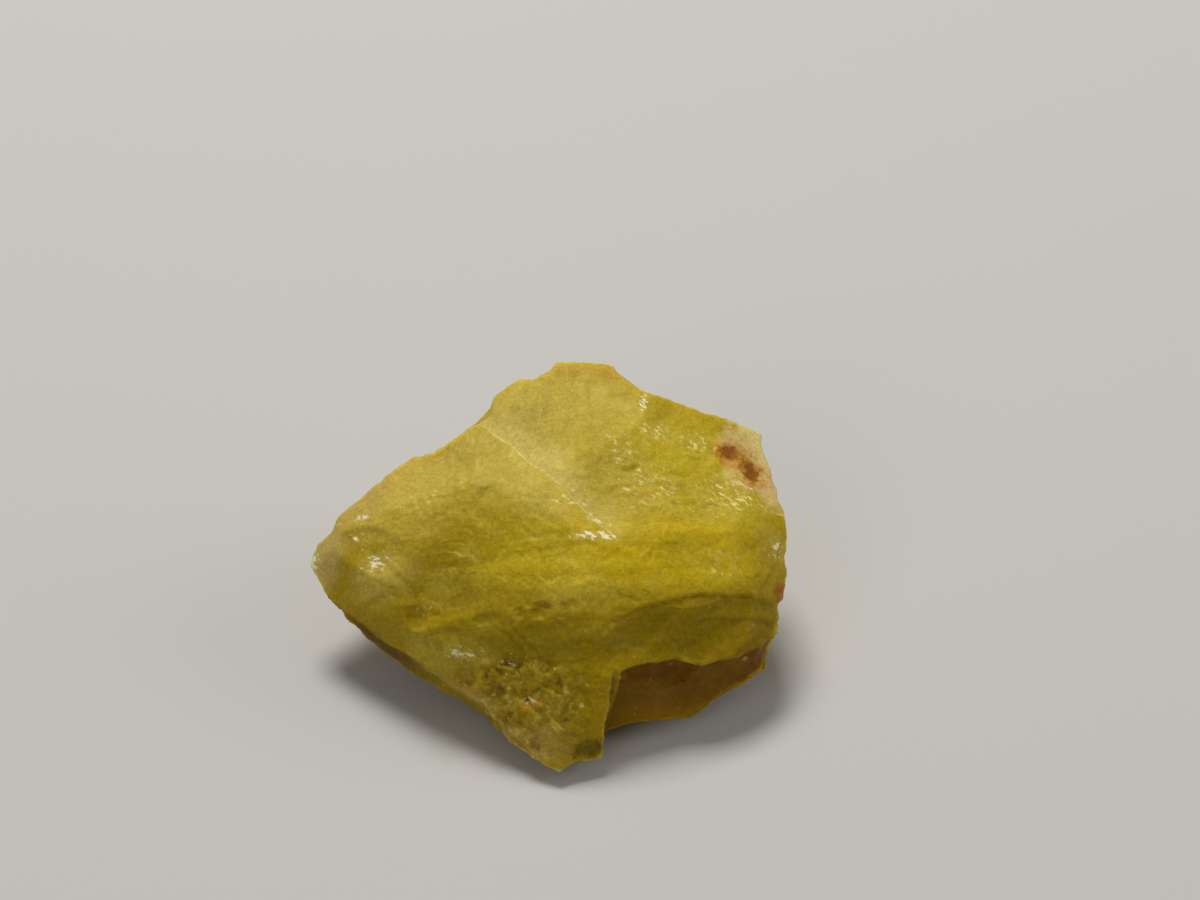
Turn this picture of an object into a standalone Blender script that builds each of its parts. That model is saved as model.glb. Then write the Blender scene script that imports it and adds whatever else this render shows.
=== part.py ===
"""Raw rhodizite crystal: one broken, wine-yellow lump that rests on a flat cleavage face.

The lump starts as the convex block between its named corners, whose faces are made a little
uneven. Shell-shaped fractures, growth ledges, rust pits and chipped edges are then cut out
of it, and the bottom is sliced flat where it rests. +X is to the right as the crystal is
looked at, +Y is its back and +Z is up. The origin lies on the resting face.
"""

import math
import random
from typing import NamedTuple

import bmesh
import bpy
from mathutils import Matrix, Vector, noise

# Driving dimension: the crystal's length in metres, from its left tip to its right edge
CRYSTAL_LENGTH = 0.0143

# The places and sizes below are given in this unit, which is 1 mm at the length above
UNIT = CRYSTAL_LENGTH / 14.3

# Corners of the unbroken block
CORNERS = {
    # The far rim, from the left tip over the top to the pale corner
    "left_tip": (-7.3, 0.75, 2.7),
    "left_tip_top": (-7.1, 1.2, 3.15),
    "left_shoulder": (-6.5, 1.7, 3.9),
    "rim_left": (-4.6, 2.8, 5.0),
    "rim_bump": (-1.5, 4.95, 6.35),
    "top_left": (-0.05, 5.75, 6.85),
    "top_right": (1.45, 5.75, 6.95),
    "top_corner": (2.1, 5.1, 6.7),
    "rim_right": (3.0, 4.7, 6.5),
    "pale_corner_back": (5.8, 5.0, 5.4),
    "pale_corner_outer": (6.45, 4.55, 5.1),
    "pale_corner_low": (6.8, 2.7, 4.5),
    # The right edge, going down to the foot
    "right_top": (7.05, 1.2, 4.1),
    "right_middle": (7.05, 0.6, 3.7),
    "right_bend": (6.8, -0.3, 3.3),
    "right_low": (6.9, -1.3, 2.55),
    "right_foot": (6.45, -2.5, 1.5),
    # The near rim, from the foot over the spur to the left tip
    "foot_right": (5.95, -3.0, 1.15),
    "foot_near": (5.35, -3.25, 0.9),
    "foot_middle": (4.45, -3.65, 0.6),
    "spur_right": (1.55, -5.05, 0.5),
    "spur_tip": (0.25, -5.5, 0.42),
    "spur_left": (-1.7, -3.85, 0.95),
    "near_left": (-4.1, -2.5, 1.35),
    "left_foot": (-5.6, -1.2, 1.7),
    "left_low": (-6.4, -0.25, 2.0),
    "left_edge": (-7.0, 0.2, 2.35),
    # The ridge that parts the top from the front
    "ridge_tip": (-6.0, 0.6, 3.9),
    "ridge_left": (-4.7, 1.0, 4.6),
    "ridge_crest": (-2.4, 1.2, 5.35),
    "ridge_middle": (0.7, -0.5, 5.5),
    "ridge_right": (2.1, -0.9, 5.3),
    "ridge_far": (5.0, 0.0, 4.75),
    # The front's lower edge, and the lip over the foot
    "front_left": (-3.6, -2.3, 3.0),
    "front_middle": (0.8, -2.7, 4.3),
    "front_right": (3.1, -2.3, 4.1),
    "front_far": (6.0, -1.4, 3.4),
    "lip_left": (2.1, -3.8, 2.6),
    "lip_middle": (3.65, -3.4, 2.7),
    "lip_right": (5.0, -2.7, 2.8),
    # The back, and the underside that narrows to the resting face
    "back_tip": (-5.4, 2.9, 2.9),
    "back_left": (-3.4, 4.5, 3.6),
    "back_middle": (-0.6, 5.9, 3.9),
    "back_right": (2.9, 5.6, 3.2),
    "back_far": (5.6, 4.4, 2.5),
    "under_left": (-2.9, -0.6, -0.2),
    "under_near": (0.9, -3.2, -0.2),
    "under_right": (4.2, -0.6, -0.2),
    "under_back": (2.2, 3.3, -0.2),
    "under_back_left": (-1.6, 2.9, -0.2),
}

# Unevenness of the block's faces: the longest edge left on them, and how far they wander.
# The finer part of a wander is so many times smaller in span, and this share of its height.
LONGEST_EDGE = 1.3
UNEVENNESS = 0.1
UNEVENNESS_SPAN = 2.2
FINER_BY = 2.2
FINER_SHARE = 0.55

# A cutter is a flattened ball, sunk so that this share of its half thickness is in the stone
SUNK = 0.5
# It wanders by this share of its size, so that no rim is a true ellipse
CUTTER_WANDER = 0.09

# Chipped edges
CHIP_SEED = 11
CHIP_COUNT = 44
CHIP_WIDTHS = (0.3, 0.7)
CHIP_NARROWNESS = (0.6, 1.0)
CHIP_DEPTHS = (0.08, 0.2)
LEAST_CHIPPED_ANGLE = math.radians(25)

# The broken stone is made of cells this wide, worn and roughened, then thinned out again
CELL = 0.18
ROUGHNESS = 0.05
ROUGHNESS_SPAN = 0.8
KEPT_SHARE = 0.22


class Shell(NamedTuple):
    """One shell-shaped fracture, as if a flattened ball had been pressed into the stone."""

    at: tuple  # its middle, on the face that it breaks
    faces: tuple  # the way out of the stone there
    width: float  # half its width, taken level
    height: float  # half its height, taken up the face
    depth: float
    roll: float = 0.0  # degrees that it is turned by on the face


SHELLS = {
    # The front: the dark shell that runs out on the right edge, and hollows under the ridge
    "lower_right": Shell((4.9, -2.55, 3.15), (0.27, -0.72, 0.64), 4.0, 1.05, 0.42, 6),
    "lower_right_deep": Shell((2.7, -3.15, 3.15), (0.15, -0.7, 0.7), 1.7, 0.75, 0.22, 20),
    "foot_dish": Shell((4.9, -3.2, 1.75), (0.35, -0.93, 0.0), 2.7, 1.2, 0.3, 10),
    "foot_under": Shell((3.1, -3.7, 0.25), (0.1, -0.5, -0.86), 1.8, 1.2, 0.42, 0),
    "front_valley": Shell((-2.6, -0.45, 4.35), (-0.27, -0.47, 0.84), 4.2, 1.0, 0.2, -9),
    "front_flat": Shell((-1.6, -2.3, 3.75), (-0.15, -0.65, 0.75), 3.0, 1.1, 0.18, -12),
    "front_middle": Shell((1.1, -1.9, 4.7), (0.0, -0.55, 0.83), 2.0, 0.8, 0.14, 0),
    "left_hollow": Shell((-5.6, 0.2, 3.7), (-0.35, -0.45, 0.8), 1.8, 0.8, 0.16, 20),
    "left_band": Shell((-4.9, -1.75, 1.65), (-0.55, -0.8, -0.2), 2.8, 0.55, 0.16, 6),
    "near_bay": Shell((-2.7, -3.35, 1.1), (-0.45, -0.75, -0.42), 1.5, 0.9, 0.36, 0),
    "near_bay_left": Shell((-3.5, -2.95, 1.25), (-0.45, -0.75, -0.42), 1.2, 0.8, 0.42, 0),
    # The top: the milky plateau, the trough beside the pale corner, and the bitten rim
    "plateau": Shell((1.9, 2.9, 6.3), (0.0, -0.18, 0.97), 3.1, 3.3, 0.2, 25),
    "plateau_near": Shell((1.6, 0.3, 5.75), (0.05, -0.25, 0.96), 2.2, 1.3, 0.16, 25),
    "trough": Shell((4.4, 1.9, 5.4), (0.28, -0.2, 0.93), 1.8, 2.4, 0.26, -25),
    "strip_left": Shell((-3.4, 2.3, 5.35), (-0.3, -0.15, 0.94), 2.4, 1.1, 0.18, 35),
    "rim_left_bay": Shell((-3.3, 3.75, 5.55), (-0.6, 0.55, 0.58), 1.4, 1.0, 0.5, 0),
    "rim_step_bite": Shell((-2.45, 4.3, 5.95), (-0.6, 0.6, 0.5), 0.7, 1.0, 0.6, 0),
    "rim_top_bite": Shell((-0.45, 5.55, 6.65), (-0.4, 0.7, 0.6), 0.6, 0.8, 0.3, 0),
    "rim_right_bay": Shell((4.1, 4.75, 6.05), (0.4, 0.65, 0.65), 1.2, 0.9, 0.22, 0),
    # The right edge
    "right_bay": Shell((6.95, -0.75, 2.95), (0.9, -0.35, 0.1), 0.6, 1.0, 0.16, 0),
    "right_nick": Shell((7.0, 1.95, 4.25), (0.85, 0.1, 0.5), 0.5, 0.6, 0.14, 0),
    "right_side": Shell((6.9, 0.8, 2.6), (0.9, 0.1, -0.4), 2.4, 1.3, 0.3, 0),
    # The back and the underside, where it was broken out
    "back_left_shell": Shell((-2.8, 5.0, 4.4), (-0.5, 0.85, 0.15), 2.6, 2.0, 0.42, 15),
    "back_middle_shell": Shell((0.9, 6.1, 5.0), (0.0, 0.98, 0.2), 2.2, 1.6, 0.3, -30),
    "back_right_shell": Shell((3.9, 5.3, 4.2), (0.3, 0.93, 0.2), 2.4, 1.7, 0.36, -20),
    "back_low_shell": Shell((0.8, 4.7, 2.0), (0.05, 0.9, -0.45), 3.2, 1.5, 0.45, 8),
    "back_corner": Shell((6.0, 3.8, 3.3), (0.8, 0.6, -0.05), 1.5, 1.2, 0.2, 0),
    "left_under_shell": Shell((-4.1, 1.5, 1.5), (-0.6, 0.2, -0.78), 2.3, 1.5, 0.4, 10),
    "right_under_shell": Shell((5.2, 0.9, 1.2), (0.68, 0.15, -0.72), 2.3, 1.4, 0.4, -12),
}

# Growth ledges: long, shallow steps that cross the front, nearly level
LEDGES = {
    "ledge_high": Shell((4.2, -0.9, 4.75), (0.3, -0.45, 0.84), 3.4, 0.36, 0.1, 4),
    "ledge_middle": Shell((3.6, -1.65, 4.45), (0.32, -0.5, 0.8), 3.6, 0.38, 0.12, -3),
    "ledge_low": Shell((4.8, -1.75, 3.85), (0.34, -0.52, 0.78), 3.0, 0.32, 0.11, 5),
    "ledge_left": Shell((-1.4, -1.6, 4.2), (-0.2, -0.55, 0.8), 2.8, 0.4, 0.1, 5),
    "ledge_tip": Shell((-4.6, -1.0, 3.5), (-0.3, -0.5, 0.8), 2.0, 0.34, 0.1, -14),
}

# The pits in the pale corner that rust has filled
PITS = {
    "pit_upper": Shell((5.4, 3.15, 5.2), (0.35, -0.2, 0.92), 0.4, 0.28, 0.26, 20),
    "pit_lower": Shell((5.95, 2.65, 4.85), (0.42, -0.2, 0.88), 0.28, 0.38, 0.26, 0),
}

# The break beside the spur: where its two walls meet, the way that each one faces out of
# the stone, and its size. One wall is the nearly upright face of the foot.
BREAK_AT = (1.6, -3.85, 1.2)
FOOT_FACES = (0.11, -0.99, 0.09)
SPUR_WALL_FACES = (0.98, 0.1, -0.17)
BREAK_SIZE = (8.0, 4.0, 9.0)

# Hackly steps that crowd on the spur's near side, as a stack of tilted flakes: how wide they
# are, how far they stand out and lean, and the patch's middle and reach
FLAKE_SPAN = 0.55
FLAKE_HEIGHT = 0.07
FLAKE_LEAN = 0.11
FLAKE_SHUFFLE = 7.3
HACKLY_AT = (-0.5, -4.2, 1.8)
HACKLY_REACH = 2.2


def clear_scene():
    """Removes every object that the file starts with."""
    for found in list(bpy.data.objects):
        bpy.data.objects.remove(found)


def new_collection(name):
    collection = bpy.data.collections.new(name)
    bpy.context.scene.collection.children.link(collection)
    return collection


def new_object(name, bm, collection):
    """Turns a bmesh into an object of the collection."""
    mesh = bpy.data.meshes.new(name)
    bm.to_mesh(mesh)
    bm.free()
    made = bpy.data.objects.new(name, mesh)
    collection.objects.link(made)
    return made


def hidden_cutter(name, bm, collection):
    """An object that only cuts, so that it is left out of the picture."""
    made = new_object(name, bm, collection)
    made.display_type = "WIRE"
    made.hide_render = True
    return made


def crystal_material():
    """Wine-yellow, glassy and faintly see-through."""
    material = bpy.data.materials.new("rhodizite_yellow")
    material.use_nodes = True
    shader = material.node_tree.nodes["Principled BSDF"]
    shader.inputs["Base Color"].default_value = (0.42, 0.29, 0.03, 1.0)
    shader.inputs["Roughness"].default_value = 0.32
    shader.inputs["Metallic"].default_value = 0.0
    shader.inputs["IOR"].default_value = 1.69
    return material


def block():
    """The unbroken block: the convex hull of the corners, with its faces made uneven."""
    bm = bmesh.new()
    for place in CORNERS.values():
        bm.verts.new(Vector(place))
    hull = bmesh.ops.convex_hull(bm, input=bm.verts[:])
    inside = [part for part in hull["geom_interior"] if isinstance(part, bmesh.types.BMVert)]
    bmesh.ops.delete(bm, geom=inside, context="VERTS")
    bmesh.ops.recalc_face_normals(bm, faces=bm.faces[:])
    return bm


def sharp_edges(bm):
    """(start, end, outward direction) of the block's edges that stand out enough to chip."""
    found = []
    for edge in bm.edges:
        if edge.calc_face_angle(0.0) < LEAST_CHIPPED_ANGLE:
            continue
        outward = sum((face.normal for face in edge.link_faces), Vector()).normalized()
        found.append((edge.verts[0].co.copy(), edge.verts[1].co.copy(), outward))
    return found


def wander(place, span):
    """Smooth noise that changes over the span, with a finer part added."""
    return noise.noise(place / span) + FINER_SHARE * noise.noise(place / span * FINER_BY)


def make_uneven(bm):
    """Splits the long edges and lets the new points wander along the block's normals."""
    for _ in range(3):
        long_edges = [edge for edge in bm.edges if edge.calc_length() > LONGEST_EDGE]
        bmesh.ops.subdivide_edges(bm, edges=long_edges, cuts=1)
        bmesh.ops.triangulate(bm, faces=bm.faces[:])
    bm.normal_update()
    for vert in bm.verts:
        vert.co += vert.normal * UNEVENNESS * wander(vert.co, UNEVENNESS_SPAN)


def cutter(name, shell, collection, subdivisions):
    """A flattened ball that cuts the shell's width, height and depth from the stone."""
    rim_share = math.sqrt(1.0 - SUNK**2)
    half_thickness = shell.depth / (1.0 - SUNK)
    outward = Vector(shell.faces).normalized()
    level = Vector((0.0, 0.0, 1.0)).cross(outward).normalized()
    turn = Matrix((level, outward.cross(level), outward)).transposed().to_4x4()
    size = Matrix.Diagonal(
        (shell.width / rim_share, shell.height / rim_share, half_thickness, 1.0)
    )
    middle = Vector(shell.at) + outward * half_thickness * SUNK
    roll = Matrix.Rotation(math.radians(shell.roll), 4, "Z")
    place = Matrix.Translation(middle) @ turn @ roll @ size
    bm = bmesh.new()
    bmesh.ops.create_icosphere(bm, subdivisions=subdivisions, radius=1.0)
    for vert in bm.verts:
        vert.co *= 1.0 + CUTTER_WANDER * noise.noise(vert.co * 1.7 + middle)
    bmesh.ops.transform(bm, matrix=Matrix.Scale(UNIT, 4) @ place, verts=bm.verts[:])
    return hidden_cutter(name, bm, collection)


def chips(edges, rng):
    """Small shells at random places along the edges, longer edges taking more of them."""
    lengths = [(end - start).length for start, end, _ in edges]
    for start, end, outward in rng.choices(edges, weights=lengths, k=CHIP_COUNT):
        at = start.lerp(end, rng.random())
        width = rng.uniform(*CHIP_WIDTHS)
        height = width * rng.uniform(*CHIP_NARROWNESS)
        depth = rng.uniform(*CHIP_DEPTHS)
        yield Shell(tuple(at), tuple(outward), width, height, depth, rng.uniform(-90, 90))


def spur_break(collection):
    """A box that breaks the stone away beside the spur, down to the face of the foot."""
    foot = Vector(FOOT_FACES).normalized()
    wall = Vector(SPUR_WALL_FACES)
    wall = (wall - foot * wall.dot(foot)).normalized()
    turn = Matrix((wall, foot, wall.cross(foot))).transposed().to_4x4()
    bm = bmesh.new()
    bmesh.ops.create_cube(bm, size=1.0)
    inner_edge = Matrix.Translation((0.5, 0.5, 0.0))
    place = Matrix.Translation(BREAK_AT) @ turn @ Matrix.Diagonal((*BREAK_SIZE, 1.0)) @ inner_edge
    bmesh.ops.transform(bm, matrix=Matrix.Scale(UNIT, 4) @ place, verts=bm.verts[:])
    bmesh.ops.recalc_face_normals(bm, faces=bm.faces[:])
    return hidden_cutter("spur_break", bm, collection)


def resting_cutter(collection):
    """A box whose top slices the stone flat on the plane that it rests on."""
    side = 20.0
    bm = bmesh.new()
    bmesh.ops.create_cube(bm, size=1.0)
    place = Matrix.Translation((0.0, 0.0, -side / 4)) @ Matrix.Diagonal((side, side, side / 2, 1.0))
    bmesh.ops.transform(bm, matrix=Matrix.Scale(UNIT, 4) @ place, verts=bm.verts[:])
    return hidden_cutter("resting_cut", bm, collection)


def subtract(crystal, collection, name):
    """Takes every cutter of the collection away from the stone."""
    cut = crystal.modifiers.new(name, "BOOLEAN")
    cut.operation = "DIFFERENCE"
    cut.operand_type = "COLLECTION"
    cut.collection = collection
    cut.solver = "EXACT"


def hackle(place):
    """Height of the flakes at a place: each one is tilted and stands at its own level."""
    closeness = 1.0 - (place - Vector(HACKLY_AT)).length / HACKLY_REACH
    if closeness <= 0.0:
        return 0.0
    _, middles = noise.voronoi(place / FLAKE_SPAN)
    middle = middles[0]
    level = noise.cell(middle * FLAKE_SHUFFLE)
    lean = noise.cell_vector(middle * FLAKE_SHUFFLE) - Vector((0.5, 0.5, 0.5))
    rise = (place / FLAKE_SPAN - middle).dot(lean)
    return min(1.0, 2.0 * closeness) * (FLAKE_HEIGHT * level + FLAKE_LEAN * rise)


def drop_crumbs(bm):
    """Removes all but the largest piece, because a break can cut a thin edge loose."""
    pieces = []
    unseen = set(bm.verts)
    while unseen:
        piece = set()
        waiting = [unseen.pop()]
        while waiting:
            vert = waiting.pop()
            piece.add(vert)
            near = {edge.other_vert(vert) for edge in vert.link_edges} & unseen
            unseen -= near
            waiting += near
        pieces.append(piece)
    pieces.sort(key=len)
    for crumb in pieces[:-1]:
        bmesh.ops.delete(bm, geom=list(crumb), context="VERTS")


def roughen(mesh):
    """Lets the cells wander in and out, and raises the flakes on the spur."""
    bm = bmesh.new()
    bm.from_mesh(mesh)
    drop_crumbs(bm)
    bm.normal_update()
    moves = []
    for vert in bm.verts:
        place = vert.co / UNIT
        height = ROUGHNESS * wander(place, ROUGHNESS_SPAN) + hackle(place)
        moves.append(vert.normal * height * UNIT)
    for vert, move in zip(bm.verts, moves):
        vert.co += move
    bm.to_mesh(mesh)
    bm.free()


def main():
    clear_scene()
    crystal_collection = new_collection("raw_rhodizite_crystal")
    breaks = new_collection("breaks")
    resting_cuts = new_collection("resting_cuts")

    bm = block()
    edges = sharp_edges(bm)
    make_uneven(bm)
    bmesh.ops.scale(bm, vec=(UNIT,) * 3, verts=bm.verts[:])
    unbroken = new_object("unbroken", bm, bpy.context.scene.collection)

    for name, shell in SHELLS.items():
        cutter(name, shell, breaks, subdivisions=4)
    for name, shell in {**LEDGES, **PITS}.items():
        cutter(name, shell, breaks, subdivisions=3)
    for number, shell in enumerate(chips(edges, random.Random(CHIP_SEED))):
        cutter(f"chip_{number:02d}", shell, breaks, subdivisions=2)
    spur_break(breaks)
    subtract(unbroken, breaks, "broken")
    cells = unbroken.modifiers.new("cells", "REMESH")
    cells.mode = "VOXEL"
    cells.voxel_size = CELL * UNIT

    broken = unbroken.evaluated_get(bpy.context.evaluated_depsgraph_get())
    mesh = bpy.data.meshes.new_from_object(broken)
    mesh.name = "rhodizite_crystal"
    bpy.data.objects.remove(unbroken)
    roughen(mesh)

    crystal = bpy.data.objects.new("rhodizite_crystal", mesh)
    crystal_collection.objects.link(crystal)
    mesh.materials.clear()
    mesh.materials.append(crystal_material())
    thinned = crystal.modifiers.new("thinned", "DECIMATE")
    thinned.ratio = KEPT_SHARE
    resting_cutter(resting_cuts)
    subtract(crystal, resting_cuts, "rests")


main()
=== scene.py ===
"""The dressed crystal: a broken, wine-yellow lump of rhodizite on a pale floor.

The stone is one closed surface. It starts as the convex block between its corners, which
the same shells and breaks cut into as in its solid, and it then gets the fine relief that
the solid leaves out. Lengths in the tables are in millimetres.
"""

import itertools
import math
import random

import bmesh
import bpy
import numpy as np
from mathutils import Matrix, Vector


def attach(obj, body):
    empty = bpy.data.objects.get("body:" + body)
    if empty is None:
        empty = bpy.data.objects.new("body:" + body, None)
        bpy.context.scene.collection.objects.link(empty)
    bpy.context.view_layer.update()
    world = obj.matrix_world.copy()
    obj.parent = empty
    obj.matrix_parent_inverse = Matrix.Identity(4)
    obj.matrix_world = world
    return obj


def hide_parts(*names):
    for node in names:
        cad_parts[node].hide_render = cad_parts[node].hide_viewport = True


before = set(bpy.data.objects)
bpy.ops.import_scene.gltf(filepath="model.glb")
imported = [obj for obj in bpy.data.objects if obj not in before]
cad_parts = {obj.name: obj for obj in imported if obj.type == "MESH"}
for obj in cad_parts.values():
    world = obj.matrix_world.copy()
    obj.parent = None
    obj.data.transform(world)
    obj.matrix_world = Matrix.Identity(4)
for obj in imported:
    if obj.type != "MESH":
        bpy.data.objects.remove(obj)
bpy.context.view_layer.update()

MM = 0.001

# The corners of the convex block that the stone broke out of
CORNERS = (
    (-7.3, 0.75, 2.7),
    (-7.1, 1.2, 3.15),
    (-6.5, 1.7, 3.9),
    (-4.6, 2.8, 5.0),
    (-1.5, 4.95, 6.35),
    (-0.05, 5.75, 6.85),
    (1.45, 5.75, 6.95),
    (2.1, 5.1, 6.7),
    (3.0, 4.7, 6.5),
    (5.8, 5.0, 5.4),
    (6.45, 4.55, 5.1),
    (6.8, 2.7, 4.5),
    (7.05, 1.2, 4.1),
    (7.05, 0.6, 3.7),
    (6.8, -0.3, 3.3),
    (6.9, -1.3, 2.55),
    (6.45, -2.5, 1.5),
    (5.95, -3.0, 1.15),
    (5.35, -3.25, 0.9),
    (4.45, -3.65, 0.6),
    (1.55, -5.05, 0.5),
    (0.25, -5.5, 0.42),
    (-1.7, -3.85, 0.95),
    (-4.1, -2.5, 1.35),
    (-5.6, -1.2, 1.7),
    (-6.4, -0.25, 2.0),
    (-7.0, 0.2, 2.35),
    (-6.0, 0.6, 3.9),
    (-4.7, 1.0, 4.6),
    (-2.4, 1.2, 5.35),
    (0.7, -0.5, 5.5),
    (2.1, -0.9, 5.3),
    (5.0, 0.0, 4.75),
    (-3.6, -2.3, 3.0),
    (0.8, -2.7, 4.3),
    (3.1, -2.3, 4.1),
    (6.0, -1.4, 3.4),
    (2.1, -3.8, 2.6),
    (3.65, -3.4, 2.7),
    (5.0, -2.7, 2.8),
    (-5.4, 2.9, 2.9),
    (-3.4, 4.5, 3.6),
    (-0.6, 5.9, 3.9),
    (2.9, 5.6, 3.2),
    (5.6, 4.4, 2.5),
    (-2.9, -0.6, -0.2),
    (0.9, -3.2, -0.2),
    (4.2, -0.6, -0.2),
    (2.2, 3.3, -0.2),
    (-1.6, 2.9, -0.2),
)

# Shells: middle on the face, way out of the stone, half width, half height, depth, roll
SHELLS = (
    ((4.9, -2.55, 3.15), (0.27, -0.72, 0.64), 4.0, 1.05, 0.42, 6),
    ((2.7, -3.15, 3.15), (0.15, -0.7, 0.7), 1.7, 0.75, 0.22, 20),
    ((4.9, -3.2, 1.75), (0.35, -0.93, 0.0), 2.7, 1.2, 0.3, 10),
    ((3.1, -3.7, 0.25), (0.1, -0.5, -0.86), 1.8, 1.2, 0.28, 0),
    ((-5.6, 0.2, 3.7), (-0.35, -0.45, 0.8), 1.8, 0.8, 0.08, 20),
    ((-4.9, -1.75, 1.65), (-0.55, -0.8, -0.2), 2.8, 0.55, 0.16, 6),
    ((-2.7, -3.35, 1.1), (-0.45, -0.75, -0.42), 1.5, 0.9, 0.36, 0),
    ((-3.5, -2.95, 1.25), (-0.45, -0.75, -0.42), 1.2, 0.8, 0.42, 0),
    ((1.9, 2.9, 6.3), (0.0, -0.18, 0.97), 3.1, 3.3, 0.2, 25),
    ((1.6, 0.3, 5.75), (0.05, -0.25, 0.96), 2.2, 1.3, 0.16, 25),
    ((4.4, 1.9, 5.4), (0.28, -0.2, 0.93), 1.8, 2.4, 0.26, -25),
    ((-3.4, 2.3, 5.35), (-0.3, -0.15, 0.94), 2.4, 1.1, 0.18, 35),
    ((-3.3, 3.75, 5.55), (-0.6, 0.55, 0.58), 1.4, 1.0, 0.5, 0),
    ((-2.45, 4.3, 5.95), (-0.6, 0.6, 0.5), 0.7, 1.0, 0.6, 0),
    ((-0.45, 5.55, 6.65), (-0.4, 0.7, 0.6), 0.6, 0.8, 0.3, 0),
    ((4.1, 4.75, 6.05), (0.4, 0.65, 0.65), 1.2, 0.9, 0.22, 0),
    ((6.95, -0.75, 2.95), (0.9, -0.35, 0.1), 0.6, 1.0, 0.16, 0),
    ((7.0, 1.95, 4.25), (0.85, 0.1, 0.5), 0.5, 0.6, 0.14, 0),
    ((6.9, 0.8, 2.6), (0.9, 0.1, -0.4), 2.4, 1.3, 0.3, 0),
    ((-2.8, 5.0, 4.4), (-0.5, 0.85, 0.15), 2.6, 2.0, 0.42, 15),
    ((0.9, 6.1, 5.0), (0.0, 0.98, 0.2), 2.2, 1.6, 0.3, -30),
    ((3.9, 5.3, 4.2), (0.3, 0.93, 0.2), 2.4, 1.7, 0.36, -20),
    ((0.8, 4.7, 2.0), (0.05, 0.9, -0.45), 3.2, 1.5, 0.45, 8),
    ((6.0, 3.8, 3.3), (0.8, 0.6, -0.05), 1.5, 1.2, 0.2, 0),
    ((-4.1, 1.5, 1.5), (-0.6, 0.2, -0.78), 2.3, 1.5, 0.4, 10),
    ((5.2, 0.9, 1.2), (0.68, 0.15, -0.72), 2.3, 1.4, 0.4, -12),
)

# Finer breaks in the same form: the pits of the pale corner, a dent in the outline, chips and
# notches in the rims
PITS = (
    ((5.4, 3.15, 5.2), (0.35, -0.2, 0.92), 0.42, 0.26, 0.08, 20),
    ((5.95, 2.65, 4.85), (0.42, -0.2, 0.88), 0.28, 0.4, 0.08, 0),
    ((3.05, 5.0, 6.36), (0.35, 0.65, 0.67), 1.1, 0.8, 0.22, 0),
    ((2.95, -3.5, 2.62), (0.15, -0.96, 0.12), 0.85, 0.42, 0.2, 6),
    ((3.6, -3.27, 2.12), (0.28, -0.88, 0.38), 0.62, 0.42, 0.17, -12),
    ((5.0, -3.0, 2.25), (0.35, -0.92, 0.1), 0.9, 0.35, 0.14, -6),
    ((6.3, -2.2, 2.0), (0.75, -0.65, 0.1), 0.5, 0.4, 0.1, -20),
    ((-2.2, 4.35, 6.05), (-1.0, 0.25, 0.1), 0.6, 0.5, 0.22, 0),
    ((-0.4, 5.5, 6.75), (-1.0, 0.25, 0.1), 0.4, 0.4, 0.16, 0),
)

# Lines on the front, as pairs of how far across it and how far up it: the ridge between top
# and front, the front's lower edge, the round rim of the hollow with the ledge inside it,
# the bumpy lip over the foot, and the wall left of the foot (how far up, then how far across)
UP_FRONT = (0.0, 0.598, 0.802)
RIDGE = ((-6.78, 2.99), (-6.54, 3.32), (-6.23, 3.48), (-5.86, 3.84), (-5.47, 4.09), (-4.71, 4.34), (-4.11, 4.6),
         (-3.7, 4.75), (-3.04, 4.9), (-2.33, 5.05), (-1.74, 5.05), (-1.23, 4.8), (-0.75, 4.4), (-0.02, 4.21),
         (0.7, 4.06), (1.47, 3.83), (2.12, 3.65), (3.56, 3.75), (5.03, 3.81), (6.86, 3.48))
LOWER_EDGE = ((-3.58, 0.98), (-2.62, 1.3), (-1.65, 1.68), (-0.93, 1.59), (-0.22, 1.63), (0.34, 1.81), (0.99, 1.92))
RIM = ((0.94, 0.48), (1.05, 0.78), (1.28, 1.03), (1.58, 1.25), (2.06, 1.5), (2.48, 1.69), (2.97, 1.84), (3.39, 1.95),
       (3.88, 2.04), (4.32, 2.09), (4.81, 2.08), (5.28, 2.03), (5.78, 1.97), (6.23, 1.86), (6.6, 1.74))
LEDGE = ((3.6, 0.9), (4.03, 1.24), (4.32, 1.34), (4.73, 1.39), (5.34, 1.37), (5.94, 1.32), (6.59, 1.23))
LIP = ((2.06, -0.15), (2.43, 0.0), (2.77, 0.07), (3.17, 0.16), (3.51, 0.18), (3.7, 0.18), (3.9, 0.06), (4.12, 0.02),
       (4.55, 0.03), (4.89, 0.08), (5.27, 0.12), (5.6, 0.25), (6.26, 0.53), (6.51, 0.72))
FOOT_WALL = ((-1.59, 1.67), (-0.97, 1.9), (-0.35, 2.04), (0.11, 2.14))

# How many chips lie along the edges, and how many scars on the back and the underside
CHIP_COUNT = 150
SCAR_COUNT = 150

# The step between spur and foot: a place on both of its walls, and the way that each faces
BREAK_AT = (1.6, -3.85, 1.2)
FOOT_FACES = (0.11, -0.99, 0.09)
SPUR_WALL_FACES = (0.98, 0.1, -0.17)

# A shell is the lower part of a flattened ball whose middle stands the shell's depth above the
# face, so the ball is wider than the shell's rim by this much
BALL_OVER_RIM = 1.155

# Where the rays that find the surface start, how they spread, and how many cross a side
HEART = (0.1, 0.4, 3.0)
SPREAD = (7.0, 5.6, 3.4)
GRID = 126
TOWARDS_VIEWER = (0.0, -0.8, 0.6)


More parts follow.
